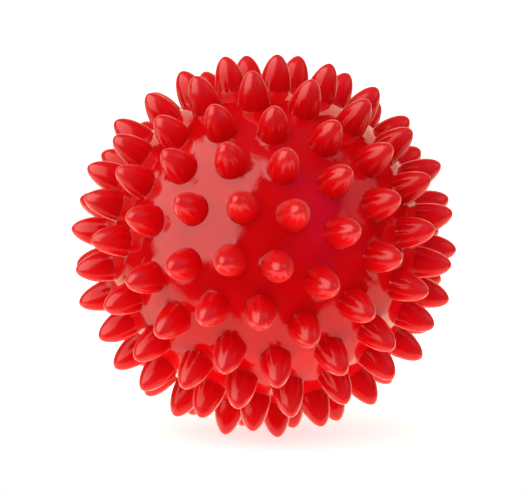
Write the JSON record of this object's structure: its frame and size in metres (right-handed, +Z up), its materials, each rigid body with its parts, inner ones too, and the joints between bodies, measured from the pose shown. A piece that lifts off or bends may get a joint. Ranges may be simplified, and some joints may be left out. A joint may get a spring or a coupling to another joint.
{
  "type": "spiked therapy ball",
  "caption": "Hollow ball of soft glossy vinyl covered in round-ended massage spikes, made of bonded half shells, with a valve grommet and a pull-out air plug.",
  "frame": {"origin": "centre of the ball", "axes": "+Z up as the ball stands on three spike tips, -Y towards the viewer of the picture, +X to the viewer's right"},
  "size_m": [0.0896, 0.0898, 0.0886],
  "materials": {
    "red_vinyl": "gloss",
    "grommet_vinyl": "satin",
    "plug_vinyl": "satin"
  },
  "bodies": {
    "ball": {"front_half_shell": "red_vinyl", "back_half_shell": "red_vinyl", "valve_grommet": "grommet_vinyl"},
    "plug": {"valve_plug": "plug_vinyl"}
  },
  "joints": [
    {"name": "plug_pull", "type": "slide", "parent": "ball", "child": "plug", "axis": [0.1289, 0.6454, 0.7529], "range_m": [0, 0.012]}
  ]
}
